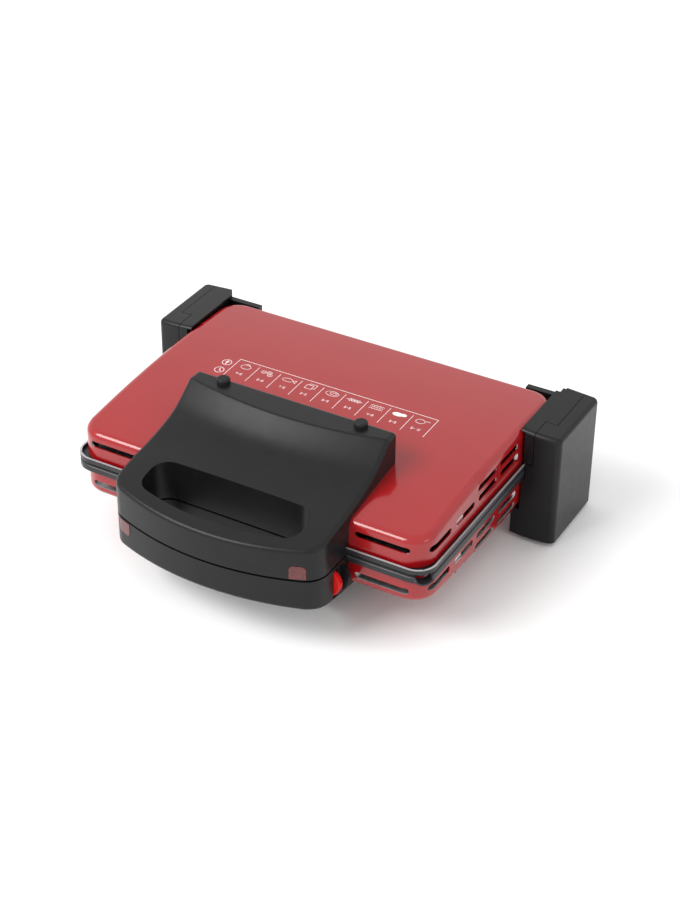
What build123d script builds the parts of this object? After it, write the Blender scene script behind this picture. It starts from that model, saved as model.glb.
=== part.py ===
from build123d import *
import os, math

os.makedirs("parts", exist_ok=True)

# ------------------------------------------------------------------ sizes, mm
# A countertop contact grill: two like halves that meet at a middle plane,
# a swept handle on each, and two rear legs that carry the hinge.
# Working frame while modelling: middle plane at z = 0, front edge of the
# plates at y = 0.  Everything is moved to the final frame when written.
Z_MID = 69.5            # height of the middle plane over the counter
Y_SHIFT = -94.5         # puts the object's box in the middle along Y

PLATE_HW = 165.0        # half width over the plate rims
PLATE_Y1 = 241.8        # rear edge of the plate rims
PLATE_R = 17.0          # rim corner radius
RIM_LO, RIM_HI = 1.2, 6.0   # height band of a rim above the middle plane
RIM_T = 1.7

CASE_HW = 161.2         # half width of a casing
CASE_Y0, CASE_Y1 = 3.8, 241.0
CASE_R = 21.0
CASE_BOTTOM = 4.0       # open edge of a casing
CASE_T = 1.2            # sheet thickness
CROWN_Z = 38.6          # highest point of the crowned cover
CROWN_Y = 148.0
CROWN_R = 1140.0
CASE_FILLET = 7.0

HAN_HW_F, HAN_HW_R = 95.2, 92.8  # handle half width in front and at the rim
HAN_Y0 = -62.6          # handle front
HAN_Y1 = 84.0           # handle rear rim
HAN_TOP = 65.0
HAN_T = 2.8
HAN_LO = 0.9            # parting plane of a handle half
ARC_C = 399.0           # centre of the swept rim arc, behind the handle

WHEEL_R, WHEEL_T = 12.2, 5.0
WHEEL_X, WHEEL_Y, WHEEL_Z = -88.0, -17.0, 17.0
COVER_XY = ((-84.0, -36.0), (85.0, -11.5))
LENS_X, LENS_W, LENS_Z0, LENS_Z1 = 79.5, 12.4, 1.8, 13.8

FOOT_X, FOOT_Y, FOOT_R, FOOT_H = 64.0, 77.0, 5.6, 4.5

LEG_X1 = 194.3          # outer face of a leg
LEG_Y0, LEG_Y1 = 172.0, 251.6
LEG_Z0, LEG_Z1 = -65.0, 38.4
HINGE_Y = 244.5         # lid axis, in the middle plane
PIN_R = 3.0
BAR_Y = (60.0, 170.0)   # support bars inside a casing
SIDE_Y = (196.0, 213.0)  # screws through the casing sides
TONGUE_X = 136.4        # screw through the casing's rear wall
FLOAT = 18.0            # how far the hinge carriages can rise


def cyl(r, h, p, d=(0, 0, 1)):
    return Solid.extrude(Face(Wire(Edge.make_circle(r, Plane(origin=p, z_dir=d)))), Vector(*d).normalized() * h)


def box(x0, x1, y0, y1, z0, z1):
    return Pos((x0 + x1) / 2, (y0 + y1) / 2, (z0 + z1) / 2) * Box(x1 - x0, y1 - y0, z1 - z0)


def rrect(x0, x1, y0, y1, r, z0, z1):
    s = RectangleRounded(x1 - x0, y1 - y0, r)
    return Pos((x0 + x1) / 2, (y0 + y1) / 2, z0) * extrude(s, z1 - z0)


def poly(pts, plane, h):
    f = make_face(Polyline([plane.from_local_coords(p) for p in pts] + [plane.from_local_coords(pts[0])]))
    return Solid.extrude(f.faces()[0], plane.z_dir * h)


def one(s):
    s = s.solids() if hasattr(s, "solids") else [s]
    s = sorted(s, key=lambda a: -a.volume)
    return s[0]


# ------------------------------------------------------------ upper casing
def case_solid(t, z0=CASE_BOTTOM):
    """Outer form of a casing, offset inwards by t."""
    b = rrect(-CASE_HW + t, CASE_HW - t, CASE_Y0 + t, CASE_Y1 - t, CASE_R - t, z0, 60)
    c = cyl(CROWN_R - t, 500, (-250, CROWN_Y, CROWN_Z - CROWN_R), (1, 0, 0))
    s = one(b & c)
    top = [e for e in s.edges() if e.center().Z > 20 and not (abs(e.tangent_at(0.5).Z) > 0.9)]
    return one(fillet(top, max(CASE_FILLET - t, 1.0)))


def slot_x(xa, xb, zc, h, y0, y1):
    """A rounded slot through a front wall."""
    s = box(xa + h / 2, xb - h / 2, y0, y1, zc - h / 2, zc + h / 2)
    s += cyl(h / 2, y1 - y0, (xa + h / 2, y0, zc), (0, 1, 0))
    s += cyl(h / 2, y1 - y0, (xb - h / 2, y0, zc), (0, 1, 0))
    return s


def slot_y(ya, yb, zc, h, x0, x1):
    s = box(x0, x1, ya + h / 2, yb - h / 2, zc - h / 2, zc + h / 2)
    s += cyl(h / 2, x1 - x0, (x0, ya + h / 2, zc), (1, 0, 0))
    s += cyl(h / 2, x1 - x0, (x0, yb - h / 2, zc), (1, 0, 0))
    return s


case_out = case_solid(0)
case_in = case_solid(CASE_T, -10)
casing = case_out - case_in
for sx in (-1, 1):
    casing -= slot_x(*(sorted((sx * 100, sx * 147.5))), 19.4, 5.4, -2, 8)
    x0, x1 = (150, 175) if sx > 0 else (-175, -150)
    for a, b in ((15, 47), (55, 87), (94, 126), (133.5, 165.5)):
        casing -= slot_y(a, b, 18.4, 5.8, x0, x1)
    for a, b in ((92.5, 124.5), (132, 164)):
        casing -= slot_y(a, b, 28.6, 5.4, x0, x1)
# openings for the wheel shaft, the handle screws and the arm screws
casing -= cyl(4.2, 12, (WHEEL_X, -2, WHEEL_Z), (0, 1, 0))
for x in (-70, 70):
    casing -= cyl(2.1, 12, (x * 0.9, -2, 12.5), (0, 1, 0))
for x, y in ((-70, 60), (70, 60)):
    casing -= cyl(2.1, 30, (x, y, 20))
for sx in (-1, 1):
    for y in SIDE_Y:
        casing -= cyl(1.8, 12, (sx * 156, y, 22), (sx, 0, 0))
    casing -= cyl(1.8, 12, (sx * TONGUE_X, 236, 22), (0, 1, 0))
casing = one(casing)

# ------------------------------------------------------------- grill plate
slab = rrect(-151, 151, 12, 230, 12, 6.2, 9.2)
rim = rrect(-PLATE_HW, PLATE_HW, 0, PLATE_Y1, PLATE_R, RIM_LO, RIM_HI)
rim = one(fillet([e for e in rim.edges() if e.center().Z < RIM_LO + 0.1], 1.0))
flange = one(rim & box(-180, 180, -10, 260, 0, 3.2))
flange -= rrect(-149.5, 149.5, 13.5, 228.5, 11, 0, 4)
lip = rim - rrect(-PLATE_HW + RIM_T, PLATE_HW - RIM_T, RIM_T, PLATE_Y1 - 0.0 + 5, PLATE_R - RIM_T, 0, 7)
lip -= box(-170, 170, PLATE_Y1 - 22, PLATE_Y1 + 2, 3.2, 7)
wall = rrect(-152, 152, 11, 231, 13, 3.0, 9.2) - rrect(-149.5, 149.5, 13.5, 228.5, 11, 2.0, 9.4)
wall += rrect(-152, 152, 11, 231, 13, 1.4, 3.2) - rrect(-149.5, 149.5, 13.5, 228.5, 11, 1.0, 3.4)
plate = slab + flange + lip + wall
RIDGE_P = 10.4
ridges = []
for i in range(-13, 14):
    x = i * RIDGE_P
    y0, y1 = (24, 218)
    f = Plane(origin=(x, y0, 0), x_dir=(1, 0, 0), z_dir=(0, 1, 0))
    # local y of this plane runs towards -Z
    ridges.append(poly([(-2.9, -6.6), (2.9, -6.6), (1.5, -2.4), (-1.5, -2.4)], f, y1 - y0))
plate = plate + ridges
# bosses that the support bars are screwed to
for x in (-141, 141):
    for y in BAR_Y:
        plate += cyl(5, 10.0, (x, y, 9.0))
        plate -= cyl(1.6, 9.0, (x, y, 10.5))
plate = one(plate)
plain_plate = plate
# pouring spout across one front corner of the lower plate: a shallow trough
d = Vector(-1, -1, 0).normalized()
c0 = Vector(-148, 17, RIM_LO - 3.5)
k0 = 10.9                # from the corner centre to just outside the casing
a0 = c0 + d * k0
trough = cyl(9.0, PLATE_R + 2.4 - k0, (a0.X, a0.Y, a0.Z), (d.X, d.Y, 0))
plate = plate + trough
plate -= cyl(7.5, 60, (c0.X - d.X * 4, c0.Y - d.Y * 4, c0.Z), (d.X, d.Y, 0)) & (box(-190, -130, -30, 40, -20, 20) - case_solid(-0.4, -10))
plate -= box(-190, -130, -30, 40, -20, RIM_LO)
plate = one(plate)

# --------------------------------------------------------- heating element
el_pts = [(-28, 214, 12.8), (-122, 214, 12.8), (-122, 34, 12.8), (122, 34, 12.8), (122, 214, 12.8), (28, 214, 12.8)]
path = FilletPolyline(*[Vector(*p) for p in el_pts], radius=26)
element = one(sweep(Plane(origin=path @ 0, z_dir=path % 0) * Circle(3.4), path=path))
element_pins = [cyl(1.5, 12, (-28, 214, 12.8), (1, 0, 0)), cyl(1.5, 12, (28, 214, 12.8), (-1, 0, 0))]
clamps = []
for x, y, ax in ((-122, 90, 1), (122, 90, 1), (-60, 34, 0), (60, 34, 0), (-122, 165, 1), (122, 165, 1)):
    w, l = (9, 5) if ax else (5, 6)
    c = box(x - w, x + w, y - l, y + l, 9.25, 17.4)
    c -= cyl(3.6, 40, (x, y - 20, 12.8), (0, 1, 0)) if ax else cyl(3.6, 40, (x - 20, y, 12.8), (1, 0, 0))
    c -= box(x - 3.6, x + 3.6, y - 20, y + 20, 9, 12.8) if ax else box(x - 20, x + 20, y - 3.6, y + 3.6, 9, 12.8)
    clamps.append(one(c))

# -------------------------------------------------- reflector, support bars
refl = rrect(-134, 134, 27, 226, 6, 11.0, 18.6) - rrect(-133.2, 133.2, 27.8, 225.2, 5.2, 10, 17.8)
refl -= box(-8, 8, 224, 228, 10, 20)
for x in (-16, 16):
    refl -= cyl(3, 6, (x, 214, 15))
refl = one(refl)
bars = []
for y in BAR_Y:
    b = box(-159.9, 159.9, y - 9, y + 9, 19.1, 20.5)
    for sx in (-1, 1):
        b += box(sx * 159.9 if sx < 0 else 158.5, -158.5 if sx < 0 else 159.9, y - 9, y + 9, 11.5, 20.5)
        b -= cyl(2.2, 8, (sx * 141, y, 16))
    bars.append(one(b))
plate_screws = []
for x in (-141, 141):
    for y in BAR_Y:
        s = cyl(1.6, 9.5, (x, y, 11.0)) + cyl(3.6, 2.0, (x, y, 20.5))
        s -= box(x - 3, x + 3, y - 0.4, y + 0.4, 21.6, 23)
        plate_screws.append(one(s))


# ------------------------------------------------------------------ handle
def handle_outline(t, z0, z1):
    """Plan of the handle, offset inwards by t: bowed front, round corners."""
    R = 223.0
    cy = HAN_Y0 + R
    xf, xr = HAN_HW_F - t, HAN_HW_R - t
    Rt = R - t
    ya = cy - math.sqrt(Rt ** 2 - xf ** 2)
    arc = ThreePointArc((-xf, ya), (0, HAN_Y0 + t), (xf, ya))
    l1 = Line((xf, ya), (xf, -8))
    l2 = Line((xf, -8), (xr, HAN_Y1 - t))
    l3 = Line((xr, HAN_Y1 - t), (-xr, HAN_Y1 - t))
    l4 = Line((-xr, HAN_Y1 - t), (-xf, -8))
    l5 = Line((-xf, -8), (-xf, ya))
    f = make_face([arc, l1, l2, l3, l4, l5])
    v = sorted(f.vertices(), key=lambda a: a.Y)
    f = fillet(v[:2], 20 - t)
    v = sorted(f.vertices(), key=lambda a: -a.Y)
    f = fillet(v[:2], max(3.2 - t, 0.4))
    return Pos(0, 0, z0) * extrude(f, z1 - z0)


PROFILE = [(-75, 24.2), (-62, 26.6), (-48, 29.4), (-34, 32.2), (-18, 35.0), (-2, 37.4), (11, 40.0),
           (24, 43.6), (36, 48.6), (46, 55.4), (53.5, 61.4), (59.5, 66.5)]


def above_swoop(t):
    """Space over the concave top, revolved about the rim arc's centre."""
    pts = [(y, z - t) for y, z in PROFILE]
    sp = Spline([Vector(0, y, z) for y, z in pts], tangents=[Vector(0, 13, 2.4), Vector(0, 6.0, 5.4)])
    e = [sp,
         Line(sp @ 1, Vector(0, 62, 110)),
         Line(Vector(0, 62, 110), Vector(0, -75, 110)),
         Line(Vector(0, -75, 110), sp @ 0)]
    f = make_face(e).faces()[0]
    f = Rot(0, 0, 0) * f
    ax = Axis((0, ARC_C, 0), (0, 0, 1))
    f = f.rotate(ax, -17)
    return Solid.revolve(f, 34, ax)


def handle_solid(t, z0):
    s = handle_outline(t, z0, HAN_TOP - t)
    s = one(s - above_swoop(t))
    return s


def recess_face(o):
    """Finger opening outline, grown by o."""
    R = 223.0 - 12.5 + o
    cy = HAN_Y0 + 223.0
    xe = 72.0 + o
    ya = cy - math.sqrt(R * R - xe * xe)
    yb = -5.0 + o
    arc = ThreePointArc((-xe, ya), (0, cy - R), (xe, ya))
    f = make_face([arc, Line((xe, ya), (xe, yb)), Line((xe, yb), (-xe, yb)), Line((-xe, yb), (-xe, ya))])
    v = sorted(f.vertices(), key=lambda a: a.Y)
    f = fillet(v[:2], 13 + o)
    v = sorted(f.vertices(), key=lambda a: -a.Y)
    f = fillet(v[:2], 15 + o)
    return f


h_out = handle_solid(0, HAN_LO)
edges = []
for e in h_out.edges():
    c = e.center()
    vert = abs(e.tangent_at(0.5).Z) > 0.9
    if c.Z > 20 and not vert:
        edges.append(e)
h_out_f = h_out
for rr in (4.0, 3.4, 2.8, 2.2):
    try:
        h_out_f = one(fillet(edges, rr))
        print("handle round", rr)
        break
    except Exception as ex:
        print("handle round", rr, "not made")
h_in = handle_solid(HAN_T, -5)
rec = extrude(recess_face(0), 90)
rec = Pos(0, 0, -5) * rec
ring = Pos(0, 0, HAN_LO) * extrude(recess_face(2.6), 90)
shell_keep = h_out_f - h_in + (ring & h_out_f)
shell_keep -= rec
# it sits on the crowned cover, and clears the plate rims
shell_keep -= case_solid(-0.02, -10)
shell_keep -= box(-110, 110, -0.9, 6, -2, 7.2)
# slot for the thermostat wheel, with a half-round guard behind it
guard = cyl(13.8, 4.2, (WHEEL_X, -8.4, WHEEL_Z), (0, 1, 0)) & box(-110, -92.55, -20, 0, 1.2, 60)
shell_keep += guard
shell_keep -= box(-112, -74.9, WHEEL_Y - 3.4, WHEEL_Y + 3.4, WHEEL_Z - 13.1, WHEEL_Z + 13.1)
# screw posts
posts = []
for x, y in ((-70, 60), (70, 60)):
    p = cyl(4.6, 40, (x, y, 30)) & h_out
    shell_keep += p - case_solid(-0.02, -10)
    shell_keep -= cyl(1.6, 14, (x, y, 30))
for x, y in COVER_XY:
    p = cyl(4.2, 24, (x, y, 3.4)) & h_out
    shell_keep += p
    shell_keep -= cyl(1.5, 12, (x, y, 0))


def arch(grow, y0, y1):
    """Form of the pilot lamp's lens: a square with round upper corners."""
    w = LENS_W / 2 + grow
    b = box(LENS_X - w, LENS_X + w, y0, y1, LENS_Z0 - grow, LENS_Z1 + grow)
    es = [e for e in b.edges() if abs(e.tangent_at(0.5).Y) > 0.9 and e.center().Z > LENS_Z1 - 1]
    return one(fillet(es, 3.8 + grow))


shell_keep -= arch(0.12, -70, -38)
# a blind hollow on the opening's inner corner leaves room for the lamp
handle_shell = one(shell_keep)

# lens, a little proud of the front
lens = arch(0.0, -70, -38) & (handle_solid(-0.35, -5) - handle_solid(2.4, -10))
lens = one(lens)
lamp = cyl(2.5, 13, (LENS_X + 2.0, -41, 8.2), (0, 1, 0)) + box(LENS_X - 1.4, LENS_X + 5.6, -29, -22, 4.2, 12.2)
lamp = one(lamp)

# inner cover of the handle, on the parting plane
cov = handle_outline(HAN_T + 0.25, HAN_LO + 0.2, HAN_LO + 2.4)
cov -= box(-200, 200, -3.4, 200, -5, 20)
cov -= Pos(0, 0, -5) * extrude(recess_face(2.85), 40)
cov -= box(-112, -74, WHEEL_Y - 3.6, WHEEL_Y + 3.6, -2, 20)
cov -= arch(0.4, -70, -38)
for x, y in COVER_XY:
    cov -= cyl(1.9, 12, (x, y, -2))
    cov -= cyl(3.3, 4.2, (x, y, -2))
cover_parts = sorted(cov.solids(), key=lambda a: -a.volume)
handle_cover = [c for c in cover_parts if c.volume > 200]
cover_screws = []
for x, y in COVER_XY:
    s = cyl(1.5, 8, (x, y, 2.2)) + cyl(3.0, 1.0, (x, y, 1.2))
    cover_screws.append(one(s))
handle_screws = []
for x, y in ((-70, 60), (70, 60)):
    s = cyl(1.6, 12, (x, y, 31)) + cyl(3.6, 2.0, (x, y, 31.6))
    handle_screws.append(s)

# feet on the rim of the handle
feet = []
for x in (-FOOT_X, FOOT_X):
    f = cyl(FOOT_R, FOOT_H, (x, FOOT_Y, HAN_TOP))
    f = fillet([e for e in f.edges() if e.center().Z > HAN_TOP + 3], 1.8)
    feet.append(one(f))

# ------------------------------------------- thermostat, shaft and wheel
th = box(WHEEL_X - 14, WHEEL_X + 14, 7, 21, 10, 25)
th = one(chamfer(th.edges().filter_by(Axis.Y), 1.5))
th += cyl(5, 2.0, (WHEEL_X, 5.0, WHEEL_Z), (0, 1, 0))
th -= cyl(3.05, 14, (WHEEL_X, 4, WHEEL_Z), (0, 1, 0))
thermostat = one(th)
shaft = cyl(3.0, 31, (WHEEL_X, -14.5, WHEEL_Z), (0, 1, 0))
shaft = one(shaft)
wheel = cyl(WHEEL_R, WHEEL_T, (WHEEL_X, WHEEL_Y - WHEEL_T / 2, WHEEL_Z), (0, 1, 0))
n = 40
for i in range(n):
    a = 2 * math.pi * i / n
    wheel -= cyl(0.62, WHEEL_T + 2, (WHEEL_X + math.cos(a) * (WHEEL_R + 0.1), WHEEL_Y - WHEEL_T / 2 - 1,
                                     WHEEL_Z + math.sin(a) * (WHEEL_R + 0.1)), (0, 1, 0))
hub = cyl(3.9, 1.6, (WHEEL_X, WHEEL_Y - WHEEL_T / 2 - 1.4, WHEEL_Z), (0, 1, 0))
wheel = one(wheel + hub)

# ---------------------------------------------------------------- wiring
def wire(pts, r=1.3, rad=7):
    p = FilletPolyline(*[Vector(*q) for q in pts], radius=rad)
    return one(sweep(Plane(origin=p @ 0, z_dir=p % 0) * Circle(r), path=p))


wires = [wire([(-12, 214, 22.5), (-12, 180, 22.5), (-40, 120, 22.5), (-60, 40, 22.5), (-70.5, 16, 22.5 - 3)]),
         wire([(12, 214, 22.5), (12, 160, 22.5), (30, 90, 22.5), (60, 14, 22.5)])]

# ------------------------------------------------------------- hinge arms
SLOPE = Plane(origin=(0, 300, 0), x_dir=(1, 0, 0), z_dir=(0, -1, 0))


def leg_form():
    """Outer form shared by a rear leg and the hinge arm on top of it."""
    xin, x1 = 150.0, LEG_X1
    f = make_face([ThreePointArc((xin, 174.0), ((xin + x1) / 2, LEG_Y0), (x1, 174.0)),
                   Line((x1, 174.0), (x1, LEG_Y1)), Line((x1, LEG_Y1), (xin, LEG_Y1)), Line((xin, LEG_Y1), (xin, 174.0))])
    f = fillet([q for q in f.vertices() if q.X > x1 - 0.5], 5.5)
    m = Pos(0, 0, LEG_Z0) * extrude(f, 110)
    m = one(m - poly([(140, 41.02), (198, 37.19), (198, 60), (140, 60)], SLOPE, 300))
    es = [e for e in m.edges() if e.center().Z > 35 and abs(e.tangent_at(0.5).Z) < 0.3 and e.center().X > 151]
    return one(fillet(es, 4.0))


form = leg_form()


def arm(sx):
    a = form & (box(163.4, 181.9, 193.7, 250.6, 8.0, 60) + box(163.4, 171.6, 160, 250.6, 8.0, 60))
    top = form & box(159.6, 166, 160, 240.0, 37.2, 60)
    top -= case_solid(-0.5, -10)
    a = one(one(a) + top)
    # hollow from below
    a -= box(166.0, 169.6, 178.0, 197.0, 5, 35.0)
    a -= box(166.0, 179.4, 196.5, 234.5, 5, 35.0)
    a -= box(150, 165.8, 246.6, 260, 5, 60)
    # tongue behind the casing
    a += box(131.6, 168, 241.05, 246.6, 9.0, 33.6)
    # side pads against the casing
    for y in SIDE_Y:
        a += cyl(5, 2.6, (161.22, y, 22), (1, 0, 0))
        a -= cyl(1.5, 6.5, (160, y, 22), (1, 0, 0))
    a -= cyl(1.5, 5.5, (TONGUE_X, 240.5, 22), (0, 1, 0))
    # pivot boss on a short neck
    boss = box(170.3, 181.1, HINGE_Y - 5.0, HINGE_Y + 4.6, 0, 12) + cyl(6.9, 10.8, (170.3, HINGE_Y, 0), (1, 0, 0))
    a = a + one(boss)
    a -= cyl(4.55, 30, (165, HINGE_Y, 0), (1, 0, 0))
    a = one(a)
    return a if sx > 0 else mirror(a, Plane.YZ)


def bush(sx):
    b = cyl(4.5, 11.0, (170.2, HINGE_Y, 0), (1, 0, 0)) - cyl(PIN_R + 0.05, 20, (165, HINGE_Y, 0), (1, 0, 0))
    b = one(b)
    return b if sx > 0 else mirror(b, Plane.YZ)


def carriage(sx):
    c = box(184.6, 190.6, 239.9, 249.1, -9, 9)
    c = one(fillet(c.edges().filter_by(Axis.X), 1.2))
    c -= cyl(PIN_R, 5.0, (184, HINGE_Y, 0), (1, 0, 0))
    c = one(c)
    return c if sx > 0 else mirror(c, Plane.YZ)


def pin(sx):
    p = cyl(PIN_R, 21.4, (167.6, HINGE_Y, 0), (1, 0, 0)) + cyl(4.4, 1.5, (167.6 - 1.5 + 0.0, HINGE_Y, 0), (1, 0, 0))
    p = one(p)
    return p if sx > 0 else mirror(p, Plane.YZ)


# --------------------------------------------------------------- rear legs
def leg(sx):
    xs = 182.4
    s = form - box(100, 154.7, 160, 260, -80, 60)
    s -= box(100, 165.8, 160, 260, -8, 60)
    s -= box(100, 162.4, 160, 260, -39.4, 60)
    s -= box(100, 165.8, 176.0, 260, -39.4, 60)
    # room for the hinge arm: open above, inside and behind
    s -= box(100, 172.1, 160, 300, 7.2, 60)
    s -= box(100, xs, 193.2, 300, 7.2, 60)
    s -= box(100, xs, 234.6, 300, -41.0, 60)
    # closed box on the outer side: hollow guide for the carriage
    s -= box(184.3, 191.0, 239.6, 249.4, -9.4, 9.4 + FLOAT)
    s -= box(184.3, 191.4, 178.5, 236.6, LEG_Z0 + 8, 31)
    # upright slot in the guide's inner wall, for the pin
    s -= box(180, 186, HINGE_Y - PIN_R - 0.25, HINGE_Y + PIN_R + 0.25, -PIN_R - 0.4, PIN_R + 0.4 + FLOAT)
    # hollow of the inner part, open towards the inner cover
    s -= box(164, 180.2, 176.2, 231.8, -38, 4.8)
    s -= box(157.5, 190, 177, 246.5, -70, -60.5)
    # pad against the lower casing
    for y in SIDE_Y:
        pd = box(161.22, 166.5, y - 5, y + 5, -27, -17)
        s += pd
    for y in SIDE_Y:
        s += box(164.8, 181, y - 5, y + 5, -27, -17)
    for y in SIDE_Y:
        s -= cyl(1.5, 12, (160, y, -22), (1, 0, 0))
    s = one(s)
    return s if sx > 0 else mirror(s, Plane.YZ)


def leg_cover(sx):
    c = box(165.9, 167.7, 176.4, 231.6, -37.8, 4.6)
    for y in SIDE_Y:
        c -= box(160, 170, y - 5.3, y + 5.3, -27.3, -16.7)
    c = one(c)
    return c if sx > 0 else mirror(c, Plane.YZ)


def pads():
    out = []
    for sx in (-1, 1):
        p = rrect(161.0, 187.0, 180.5, 243.0, 6, -Z_MID, -60.5)
        p = one(fillet([e for e in p.edges() if e.center().Z < -69], 1.2))
        out.append(p if sx > 0 else mirror(p, Plane.YZ))
    return out


# ----------------------------------------------------------------- writing
def to_lower(s):
    """A half turn about the Y axis makes the lower half from the upper."""
    return s.rotate(Axis.Y, 180)


def write(name, solids):
    if not isinstance(solids, (list, tuple)):
        solids = [solids]
    out = []
    for s in solids:
        s = one(s)
        out.append(s.moved(Location((0, Y_SHIFT, Z_MID))))
    shape = out[0] if len(out) == 1 else Compound(children=out)
    shape.label = name
    export_step(shape, "parts/%s.step" % name)


half = {
    "casing": casing, "grill_plate": plain_plate, "heating_element": [element], "element_pins": element_pins,
    "element_clamps": clamps,
    "reflector": refl, "support_bars": bars, "plate_screws": plate_screws,
    "handle_shell": handle_shell, "handle_cover": handle_cover, "cover_screws": cover_screws,
    "handle_screws": handle_screws, "lamp_lens": lens, "neon_lamp": lamp,
    "thermostat": thermostat, "thermostat_shaft": shaft, "thermostat_wheel": wheel,
    "wiring": wires, "handle_feet": feet,
}
for k, v in half.items():
    v = v if isinstance(v, list) else [v]
    write("upper_" + k, v)
    low = [to_lower(one(s)) for s in v]
    if k == "grill_plate":
        low = [to_lower(plate)]
    if k == "casing":
        low = [low[0] - cyl(5.65, 20, (0, 232, -20), (0, 1, 0))]
    write("lower_" + k, low)

for sx, nm in ((-1, "left"), (1, "right")):
    write(nm + "_hinge_arm", arm(sx))
    write(nm + "_hinge_bush", bush(sx))
    write(nm + "_hinge_carriage", carriage(sx))
    write(nm + "_hinge_pin", pin(sx))
    write(nm + "_leg_housing", leg(sx))
    write(nm + "_leg_cover", leg_cover(sx))
write("leg_pads", pads())

arm_scr, leg_scr = [], []
for sx in (-1, 1):
    for y in SIDE_Y:
        arm_scr.append(one(cyl(1.5, 8, (sx * 158.6, y, 22), (sx, 0, 0)) + cyl(3.3, 1.7, (sx * 158.2, y, 22), (sx, 0, 0))))
        leg_scr.append(one(cyl(1.5, 12, (sx * 158.6, y, -22), (sx, 0, 0)) + cyl(3.3, 1.7, (sx * 158.2, y, -22), (sx, 0, 0))))
    arm_scr.append(one(cyl(1.5, 7.4, (sx * TONGUE_X, 238.2, 22), (0, 1, 0)) + cyl(3.3, 1.7, (sx * TONGUE_X, 238.0, 22), (0, 1, 0))))
write("arm_screws", arm_scr)
write("leg_screws", leg_scr)

# lead inlet in the rear wall of the lower casing, and its terminal block
gl = cyl(7.5, 2.2, (0, 241.02, -20), (0, 1, 0)) + cyl(5.6, 9, (0, 232.3, -20), (0, 1, 0))
gl -= cyl(3.6, 20, (0, 230, -20), (0, 1, 0))
write("lead_inlet", one(gl))
tb = box(30, 62, 228, 238, -31, -22)
for i in range(3):
    tb -= cyl(2.0, 5, (36 + i * 10, 233, -32))
write("terminal_block", one(tb))
print("written")
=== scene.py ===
import math

import bpy
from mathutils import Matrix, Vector


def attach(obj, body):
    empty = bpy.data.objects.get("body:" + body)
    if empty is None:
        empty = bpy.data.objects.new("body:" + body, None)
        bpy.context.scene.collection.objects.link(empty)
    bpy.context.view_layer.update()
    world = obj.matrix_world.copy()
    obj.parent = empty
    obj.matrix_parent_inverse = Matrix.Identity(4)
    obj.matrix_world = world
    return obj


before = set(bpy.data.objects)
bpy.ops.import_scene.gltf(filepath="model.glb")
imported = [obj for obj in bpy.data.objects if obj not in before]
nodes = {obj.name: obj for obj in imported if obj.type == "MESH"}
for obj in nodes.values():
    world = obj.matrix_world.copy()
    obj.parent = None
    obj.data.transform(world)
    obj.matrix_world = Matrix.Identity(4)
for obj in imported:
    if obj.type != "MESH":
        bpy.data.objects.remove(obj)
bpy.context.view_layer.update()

YS, ZM = -0.0945, 0.0695     # modelling frame to object frame, metres
MM = 0.001


# ------------------------------------------------------------- materials
def material(name, a, b, rough=(0.35, 0.45), scale=60.0, metallic=0.0, coat=0.0, coat_rough=0.05,
             bump=0.0, bump_scale=900.0, ior=1.5, trans=0.0, stretch=(1.0, 1.0, 1.0), level=0.5):
    """Two near colours mixed by noise, roughness by a second noise, and a fine grain as bump."""
    m = bpy.data.materials.new(name)
    m.use_nodes = True
    nt = m.node_tree
    bs = nt.nodes["Principled BSDF"]
    tc = nt.nodes.new("ShaderNodeTexCoord")
    mp = nt.nodes.new("ShaderNodeMapping")
    mp.inputs["Scale"].default_value = stretch
    nt.links.new(tc.outputs["Object"], mp.inputs["Vector"])
    n1 = nt.nodes.new("ShaderNodeTexNoise")
    n1.inputs["Scale"].default_value = scale
    n1.inputs["Detail"].default_value = 3.0
    nt.links.new(mp.outputs["Vector"], n1.inputs["Vector"])
    ramp = nt.nodes.new("ShaderNodeValToRGB")
    ramp.color_ramp.elements[0].position = 0.3
    ramp.color_ramp.elements[0].color = (*a, 1.0)
    ramp.color_ramp.elements[1].position = 0.7
    ramp.color_ramp.elements[1].color = (*b, 1.0)
    nt.links.new(n1.outputs["Fac"], ramp.inputs["Fac"])
    nt.links.new(ramp.outputs["Color"], bs.inputs["Base Color"])
    n2 = nt.nodes.new("ShaderNodeTexNoise")
    n2.inputs["Scale"].default_value = scale * 2.3
    n2.inputs["Detail"].default_value = 2.0
    nt.links.new(mp.outputs["Vector"], n2.inputs["Vector"])
    mr = nt.nodes.new("ShaderNodeMapRange")
    mr.inputs["To Min"].default_value = rough[0]
    mr.inputs["To Max"].default_value = rough[1]
    nt.links.new(n2.outputs["Fac"], mr.inputs["Value"])
    nt.links.new(mr.outputs["Result"], bs.inputs["Roughness"])
    if bump:
        n3 = nt.nodes.new("ShaderNodeTexNoise")
        n3.inputs["Scale"].default_value = bump_scale
        n3.inputs["Detail"].default_value = 2.0
        nt.links.new(mp.outputs["Vector"], n3.inputs["Vector"])
        bp = nt.nodes.new("ShaderNodeBump")
        bp.inputs["Strength"].default_value = bump
        bp.inputs["Distance"].default_value = 0.0002
        nt.links.new(n3.outputs["Fac"], bp.inputs["Height"])
        nt.links.new(bp.outputs["Normal"], bs.inputs["Normal"])
    bs.inputs["Metallic"].default_value = metallic
    bs.inputs["IOR"].default_value = ior
    bs.inputs["Specular IOR Level"].default_value = level
    bs.inputs["Coat Weight"].default_value = coat
    bs.inputs["Coat Roughness"].default_value = coat_rough
    bs.inputs["Transmission Weight"].default_value = trans
    return m


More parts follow.
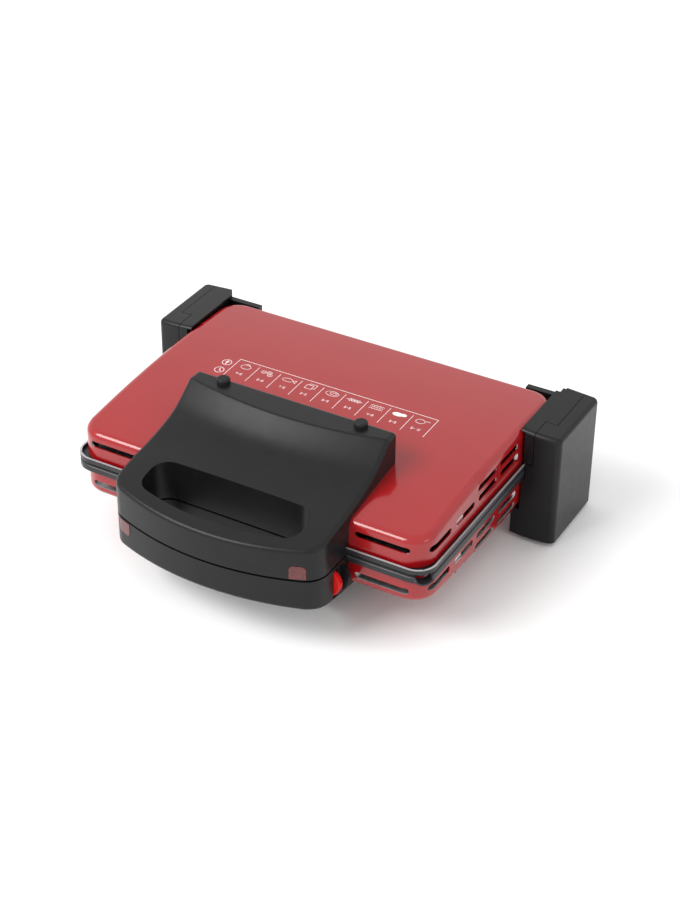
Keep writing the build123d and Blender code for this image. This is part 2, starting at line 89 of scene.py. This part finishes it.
M = {
    "plastic": material("black_plastic", (0.0050, 0.0050, 0.0056), (0.0072, 0.0072, 0.0080), (0.30, 0.38), 45,
                        bump=0.14, bump_scale=2600, level=0.27),
    "bare": material("bare_casting", (0.52, 0.52, 0.53), (0.60, 0.60, 0.61), (0.35, 0.5), 90, metallic=1.0,
                     bump=0.2, bump_scale=1500),
    "sheath": material("element_sheath", (0.16, 0.155, 0.15), (0.22, 0.21, 0.20), (0.4, 0.55), 120, metallic=0.9),
    "sheet": material("bright_sheet", (0.68, 0.68, 0.69), (0.78, 0.78, 0.79), (0.22, 0.32), 30, metallic=1.0,
                      stretch=(1.0, 12.0, 1.0)),
    "steel": material("steel", (0.55, 0.55, 0.56), (0.66, 0.66, 0.67), (0.25, 0.36), 140, metallic=1.0),
    "lens": material("lens_plastic", (0.085, 0.010, 0.008), (0.16, 0.022, 0.017), (0.12, 0.2), 420, coat=0.25, trans=0.2),
    "neon": material("neon_glass", (0.8, 0.62, 0.5), (0.9, 0.72, 0.6), (0.05, 0.1), 200, trans=0.7),
    "ceramic": material("ceramic", (0.78, 0.77, 0.73), (0.84, 0.83, 0.79), (0.5, 0.6), 150, bump=0.1),
    "wheel": material("red_plastic", (0.72, 0.010, 0.008), (0.62, 0.007, 0.006), (0.22, 0.30), 110, coat=0.2),
    "sleeve": material("wire_sleeve", (0.66, 0.64, 0.58), (0.74, 0.72, 0.66), (0.7, 0.8), 400, bump=0.4, bump_scale=2500),
    "rubber": material("rubber", (0.006, 0.006, 0.0065), (0.010, 0.010, 0.011), (0.5, 0.62), 200, bump=0.1, level=0.3),
    "brass": material("brass", (0.72, 0.52, 0.22), (0.80, 0.60, 0.28), (0.2, 0.3), 200, metallic=1.0),
    "acetal": material("acetal", (0.72, 0.72, 0.68), (0.78, 0.78, 0.74), (0.35, 0.45), 130),
    "print": material("white_print", (0.86, 0.74, 0.74), (0.93, 0.83, 0.83), (0.4, 0.5), 300),
}

def split_inside(m, centre, rough=0.32):
    """The inner side of a casing is bare galvanised metal: faces that look towards its middle."""
    nt = m.node_tree
    bs = nt.nodes["Principled BSDF"]
    tc = nt.nodes.new("ShaderNodeTexCoord")
    sub = nt.nodes.new("ShaderNodeVectorMath")
    sub.operation = "SUBTRACT"
    sub.inputs[1].default_value = centre
    nt.links.new(tc.outputs["Object"], sub.inputs[0])
    dot = nt.nodes.new("ShaderNodeVectorMath")
    dot.operation = "DOT_PRODUCT"
    nt.links.new(tc.outputs["Normal"], dot.inputs[0])
    nt.links.new(sub.outputs["Vector"], dot.inputs[1])
    gt = nt.nodes.new("ShaderNodeMath")
    gt.operation = "LESS_THAN"
    gt.inputs[1].default_value = -0.001
    nt.links.new(dot.outputs["Value"], gt.inputs[0])
    inner = nt.nodes.new("ShaderNodeBsdfPrincipled")
    inner.inputs["Base Color"].default_value = (0.80, 0.78, 0.78, 1.0)
    inner.inputs["Metallic"].default_value = 0.6
    inner.inputs["Roughness"].default_value = rough
    noise = nt.nodes.new("ShaderNodeTexNoise")
    noise.inputs["Scale"].default_value = 180.0
    nt.links.new(tc.outputs["Object"], noise.inputs["Vector"])
    rmp = nt.nodes.new("ShaderNodeValToRGB")
    rmp.color_ramp.elements[0].color = (0.74, 0.71, 0.71, 1.0)
    rmp.color_ramp.elements[1].color = (0.86, 0.84, 0.84, 1.0)
    nt.links.new(noise.outputs["Fac"], rmp.inputs["Fac"])
    nt.links.new(rmp.outputs["Color"], inner.inputs["Base Color"])
    mix = nt.nodes.new("ShaderNodeMixShader")
    nt.links.new(gt.outputs["Value"], mix.inputs["Fac"])
    nt.links.new(bs.outputs["BSDF"], mix.inputs[1])
    nt.links.new(inner.outputs["BSDF"], mix.inputs[2])
    out = nt.nodes["Material Output"]
    nt.links.new(mix.outputs["Shader"], out.inputs["Surface"])
    return m


def painted_rim_highlight(m, z_lo, z_hi, colour):
    """A painted highlight: a lighter band of base colour along a plate rim between two heights, in place of the shine
    on the lip's rounded edge.
    """
    nt = m.node_tree
    bs = nt.nodes["Principled BSDF"]
    tc = nt.nodes.new("ShaderNodeTexCoord")
    sep = nt.nodes.new("ShaderNodeSeparateXYZ")
    nt.links.new(tc.outputs["Object"], sep.inputs["Vector"])
    a = nt.nodes.new("ShaderNodeMath")
    a.operation = "GREATER_THAN"
    a.inputs[1].default_value = z_lo
    b = nt.nodes.new("ShaderNodeMath")
    b.operation = "LESS_THAN"
    b.inputs[1].default_value = z_hi
    c = nt.nodes.new("ShaderNodeMath")
    c.operation = "MULTIPLY"
    nt.links.new(sep.outputs["Z"], a.inputs[0])
    nt.links.new(sep.outputs["Z"], b.inputs[0])
    nt.links.new(a.outputs["Value"], c.inputs[0])
    nt.links.new(b.outputs["Value"], c.inputs[1])
    # only near the outline of the rim, not on the cooking face
    far = []
    for axis, mid, half_size in (("X", 0.0, 0.165), ("Y", 0.0264, 0.1209)):
        d = nt.nodes.new("ShaderNodeMath")
        d.operation = "SUBTRACT"
        d.inputs[1].default_value = mid
        nt.links.new(sep.outputs[axis], d.inputs[0])
        ab = nt.nodes.new("ShaderNodeMath")
        ab.operation = "ABSOLUTE"
        nt.links.new(d.outputs["Value"], ab.inputs[0])
        dv = nt.nodes.new("ShaderNodeMath")
        dv.operation = "SUBTRACT"
        dv.inputs[1].default_value = half_size
        nt.links.new(ab.outputs["Value"], dv.inputs[0])
        far.append(dv)
    mx = nt.nodes.new("ShaderNodeMath")
    mx.operation = "MAXIMUM"
    nt.links.new(far[0].outputs["Value"], mx.inputs[0])
    nt.links.new(far[1].outputs["Value"], mx.inputs[1])
    near = nt.nodes.new("ShaderNodeMath")
    near.operation = "GREATER_THAN"
    near.inputs[1].default_value = -0.0055
    nt.links.new(mx.outputs["Value"], near.inputs[0])
    highlight_mask = nt.nodes.new("ShaderNodeMath")
    highlight_mask.operation = "MULTIPLY"
    nt.links.new(c.outputs["Value"], highlight_mask.inputs[0])
    nt.links.new(near.outputs["Value"], highlight_mask.inputs[1])
    src = bs.inputs["Base Color"].links[0].from_socket
    mix = nt.nodes.new("ShaderNodeMix")
    mix.data_type = "RGBA"
    mix.inputs[7].default_value = (*colour, 1.0)
    nt.links.new(highlight_mask.outputs["Value"], mix.inputs[0])
    nt.links.new(src, mix.inputs[6])
    nt.links.new(mix.outputs[2], bs.inputs["Base Color"])
    return m


ENAMEL = ((0.315, 0.006, 0.008), (0.295, 0.0045, 0.0065), (0.12, 0.16), 26)
for half, zc in (("upper", ZM + 0.012), ("lower", ZM - 0.012)):
    m = material("red_enamel_" + half, *ENAMEL, coat=0.3, coat_rough=0.07, bump=0.02, bump_scale=420)
    M["enamel_" + half] = split_inside(m, (0.0, 0.0275, zc))
    m = material("plate_coating_" + half, (0.016, 0.016, 0.018), (0.024, 0.024, 0.026), (0.28, 0.35), 70,
                 metallic=0.12, bump=0.08, bump_scale=1600, level=0.42)
    # painted highlight along the rim edge: a light band on the upper plate's lip and a fainter one on the lower plate's
    # upper flange edge
    if half == "upper":
        m = painted_rim_highlight(m, ZM + 0.00588, ZM + 0.0065, (0.42, 0.42, 0.44))
    else:
        m = painted_rim_highlight(m, ZM - 0.0016, ZM - 0.0011, (0.09, 0.09, 0.095))
    M["plate_" + half] = m
KEYS = (("upper_casing", "enamel_upper"), ("lower_casing", "enamel_lower"),
        ("upper_grill_plate", "plate_upper"), ("lower_grill_plate", "plate_lower"), ("heating_element", "sheath"), ("element_pins", "steel"),
        ("element_clamps", "bare"), ("reflector", "sheet"), ("support_bars", "sheet"), ("plate_screws", "steel"),
        ("handle_shell", "plastic"), ("handle_cover", "plastic"), ("cover_screws", "steel"), ("handle_screws", "steel"),
        ("lamp_lens", "lens"), ("neon_lamp", "neon"), ("thermostat_shaft", "steel"), ("thermostat_wheel", "wheel"),
        ("thermostat", "ceramic"), ("wiring", "sleeve"), ("handle_feet", "rubber"), ("hinge_arm", "plastic"),
        ("hinge_bush", "brass"), ("hinge_carriage", "acetal"), ("hinge_pin", "steel"), ("leg_housing", "plastic"),
        ("leg_cover", "plastic"), ("leg_pads", "rubber"), ("arm_screws", "steel"), ("leg_screws", "steel"),
        ("lead_inlet", "plastic"), ("terminal_block", "ceramic"))


def paint(obj, m):
    obj.data.materials.clear()
    obj.data.materials.append(m)


ROUND = {"handle_shell": 1.0, "leg_housing": 0.3, "hinge_arm": 0.3,
         "thermostat_wheel": 0.3, "handle_cover": 0.4, "leg_cover": 0.3, "lamp_lens": 0.5}
for name, obj in nodes.items():
    for k, m in KEYS:
        if name.endswith(k):
            paint(obj, M[m])
            break
    me = obj.data
    me.polygons.foreach_set("use_smooth", [True] * len(me.polygons))
    me.set_sharp_from_angle(angle=math.radians(28))
    for k, w in ROUND.items():
        if name.endswith(k):
            wd = obj.modifiers.new("join", "WELD")
            wd.merge_threshold = 0.000002
            bv = obj.modifiers.new("edge_round", "BEVEL")
            bv.width = w * MM
            bv.segments = 3
            bv.limit_method = "ANGLE"
            bv.angle_limit = math.radians(42)
            bv.use_clamp_overlap = True
            bv.harden_normals = False
            break
    wn = obj.modifiers.new("shading", "WEIGHTED_NORMAL")
    wn.keep_sharp = True
    wn.weight = 60


# --------------------------------------------------------- printed table
def crown(y):
    """Height of the crowned cover over the middle plane, mm."""
    return 38.6 - 1140.0 + math.sqrt(1140.0 ** 2 - (y - 148.0) ** 2)


class Strips:
    """Thin raised strips that follow the crowned cover."""

    def __init__(self):
        self.v, self.f = [], []

    def prism(self, ring, top=0.16, low=-0.06):
        k = len(self.v)
        n = len(ring)
        for h in (low, top):
            for x, y in ring:
                self.v.append((x * MM, y * MM + YS, (crown(y) + h) * MM + ZM))
        self.f.append(tuple(k + i for i in reversed(range(n))))
        self.f.append(tuple(k + n + i for i in range(n)))
        for i in range(n):
            j = (i + 1) % n
            self.f.append((k + i, k + j, k + n + j, k + n + i))

    def line(self, pts, w=0.34, closed=False):
        pts = list(pts)
        if closed:
            pts.append(pts[0])
        for (x0, y0), (x1, y1) in zip(pts, pts[1:]):
            d = math.hypot(x1 - x0, y1 - y0)
            if d < 1e-6:
                continue
            ux, uy = (x1 - x0) / d, (y1 - y0) / d
            e = w * 0.35
            x0b, y0b, x1b, y1b = x0 - ux * e, y0 - uy * e, x1 + ux * e, y1 + uy * e
            steps = max(1, int(abs(y1b - y0b) / 7.0))
            for s in range(steps):
                a, b = s / steps, (s + 1) / steps
                ax, ay = x0b + (x1b - x0b) * a, y0b + (y1b - y0b) * a
                bx, by = x0b + (x1b - x0b) * b, y0b + (y1b - y0b) * b
                px, py = -uy * w / 2, ux * w / 2
                self.prism([(ax + px, ay + py), (ax - px, ay - py), (bx - px, by - py), (bx + px, by + py)])

    def object(self, name):
        me = bpy.data.meshes.new(name)
        me.from_pydata(self.v, [], self.f)
        me.validate()
        me.update()
        o = bpy.data.objects.new(name, me)
        bpy.context.scene.collection.objects.link(o)
        return o


def ell(cx, cy, rx, ry, n=18, a0=0.0, a1=360.0):
    full = abs(a1 - a0) >= 360
    m = n if full else n + 1
    return [(cx + rx * math.cos(math.radians(a0 + (a1 - a0) * i / n)),
             cy + ry * math.sin(math.radians(a0 + (a1 - a0) * i / n))) for i in range(m)]


SEG = {"a": ((0, 2), (1, 2)), "b": ((1, 2), (1, 1)), "c": ((1, 1), (1, 0)), "d": ((0, 0), (1, 0)),
       "e": ((0, 0), (0, 1)), "f": ((0, 1), (0, 2)), "g": ((0, 1), (1, 1))}
DIG = {"0": "abcdef", "1": "bc", "2": "abged", "3": "abgcd", "4": "fgbc", "5": "afgcd", "6": "afgecd", "7": "abc",
       "8": "abcdefg", "9": "abfgcd", "-": "g"}


def number(s, text, cx, cy, h=2.5):
    """Plain figures built from straight strokes."""
    w, gap = h * 0.5, h * 0.36
    x = cx - (len(text) * w + (len(text) - 1) * gap) / 2
    for ch in text:
        for q in DIG[ch]:
            (x0, y0), (x1, y1) = SEG[q]
            s.line([(x + x0 * w, cy - h / 2 + y0 * h / 2), (x + x1 * w, cy - h / 2 + y1 * h / 2)], 0.3)
        x += w + gap


tab = Strips()
X0, CELL, YR, YF = -94.2, 21.08, 151.0, 123.5
tab.line([(X0, YF), (X0, YR), (X0 + 9 * CELL, YR), (X0 + 9 * CELL, YF)], 0.42)
for i in range(1, 9):
    tab.line([(X0 + i * CELL, YR - 3.6), (X0 + i * CELL, YF)], 0.40)
CY = 142.6


def icon(i, cx, cy):
    s = tab
    if i == 0:                       # loaf
        s.line(ell(cx, cy - 0.3, 4.6, 3.2, 20), closed=True)
        s.line([(cx - 2.0, cy + 2.9), (cx - 1.0, cy + 4.2), (cx + 1.2, cy + 4.2), (cx + 2.0, cy + 2.8)])
    elif i == 1:                     # three rounds
        for dx, dy, r in ((-3.6, 0.6, 2.4), (1.2, 1.9, 2.2), (3.2, -1.6, 2.3)):
            s.line(ell(cx + dx, cy + dy, r, r * 0.8, 12), closed=True)
            s.line([(cx + dx - r * 0.5, cy + dy), (cx + dx + r * 0.5, cy + dy)])
    elif i == 2:                     # fish
        s.line(ell(cx - 1.0, cy, 5.0, 2.5, 20), closed=True)
        s.line([(cx + 4.0, cy), (cx + 6.8, cy + 2.3), (cx + 6.8, cy - 2.3), (cx + 4.0, cy)])
        s.line([(cx - 3.4, cy + 0.6), (cx - 3.0, cy + 0.6)])
    elif i == 3:                     # two slices
        s.line([(cx - 4.2, cy - 3.4), (cx + 2.0, cy - 3.4), (cx + 2.0, cy + 2.4), (cx - 4.2, cy + 2.4)], closed=True)
        s.line([(cx - 2.0, cy + 2.6), (cx - 2.0, cy + 4.4), (cx + 4.6, cy + 4.4), (cx + 4.6, cy - 1.6), (cx + 2.2, cy - 1.6)])
    elif i == 4:                     # steak
        s.line(ell(cx, cy, 6.0, 3.4, 22), closed=True)
        s.line(ell(cx + 1.0, cy + 0.2, 3.2, 1.5, 14), closed=True)
    elif i == 5:                     # skewer
        s.line([(cx - 7.4, cy), (cx + 7.4, cy)])
        for k in (-3.9, -1.3, 1.3, 3.9):
            s.line(ell(cx + k, cy, 1.15, 1.9, 10), closed=True)
    elif i == 6:                     # rashers
        for k in (-2.4, 0.0, 2.4):
            s.line([(cx - 6 + 1.5 * j, cy + k + (0.6 if j % 2 else -0.6)) for j in range(9)])
    elif i == 7:                     # filled patty
        s.prism(ell(cx - 1.4, cy - 0.2, 4.8, 2.6, 22))
        s.prism(ell(cx + 3.4, cy + 0.6, 3.0, 2.0, 18), 0.19)
    else:                            # pear
        s.line(ell(cx - 1.6, cy - 0.4, 4.0, 3.0, 20), closed=True)
        s.line([(cx + 2.0, cy + 1.0), (cx + 4.6, cy + 2.2), (cx + 6.6, cy + 1.6)])


TXT = ("4-6", "6-8", "7-9", "3-5", "6-9", "5-8", "4-8", "5-9", "6-12")
for i in range(9):
    cx = X0 + (i + 0.5) * CELL
    icon(i, cx, CY)
    number(tab, TXT[i], cx, 130.6)
# a level mark and a clock in rings
tab.line(ell(-101.9, 141.0, 4.1, 4.1, 22), 0.5, True)
tab.line([(-101.9, 138.6), (-101.9, 143.4)], 0.9)
tab.line([(-103.5, 141.6), (-101.9, 143.4), (-100.3, 141.6)], 0.5)
tab.line(ell(-101.5, 127.9, 4.1, 4.1, 22), 0.5, True)
tab.line([(-101.5, 130.9), (-101.5, 127.9), (-99.3, 126.4)], 0.55)
table_obj = tab.object("guide_table")
paint(table_obj, M["print"])
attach(table_obj, "lid")


# ----------------------------------------------------- floor, light, camera
me = bpy.data.meshes.new("floor")
me.from_pydata([(-6, -6, 0), (6, -6, 0), (6, 8, 0), (-6, 8, 0)], [], [(0, 1, 2, 3)])
floor = bpy.data.objects.new("floor", me)
bpy.context.scene.collection.objects.link(floor)
paint(floor, material("pale_floor", (0.90, 0.90, 0.90), (0.93, 0.93, 0.93), (0.85, 0.9), 3.0, level=0.1))

world = bpy.data.worlds.new("studio")
bpy.context.scene.world = world
world.use_nodes = True
bg = world.node_tree.nodes["Background"]
bg.inputs["Color"].default_value = (1.0, 1.0, 1.0, 1.0)
bg.inputs["Strength"].default_value = 0.98


def softbox(name, loc, target, size, power):
    d = bpy.data.lights.new(name, "AREA")
    d.shape = "RECTANGLE"
    d.size, d.size_y = size
    d.energy = power
    o = bpy.data.objects.new(name, d)
    o.location = loc
    o.rotation_euler = (Vector(target) - Vector(loc)).to_track_quat("-Z", "Y").to_euler()
    bpy.context.scene.collection.objects.link(o)
    return o


softbox("front_left", (-1.25, -1.65, 2.1), (0, 0, 0.07), (1.9, 1.1), 62)
softbox("right_side", (2.4, -0.6, 1.1), (0, 0, 0.07), (0.8, 0.8), 4)

AZ, EL, DIST = math.radians(30.3), math.radians(33.98), 1.66146
tgt = Vector((0.0, 0.110 + YS, 0.0695))
cam = bpy.data.cameras.new("camera")
cam.lens = 80.0
cam.sensor_width = 36.0
cam.sensor_fit = "AUTO"
cam.shift_x = 28.03 / 900
cam.shift_y = 1.08 / 900
cam_o = bpy.data.objects.new("camera", cam)
cam_o.location = tgt + DIST * Vector((math.sin(AZ) * math.cos(EL), -math.cos(AZ) * math.cos(EL), math.sin(EL)))
cam_o.rotation_euler = (tgt - cam_o.location).to_track_quat("-Z", "Y").to_euler()
bpy.context.scene.collection.objects.link(cam_o)
bpy.context.scene.camera = cam_o
bpy.context.scene.view_settings.view_transform = "Standard"
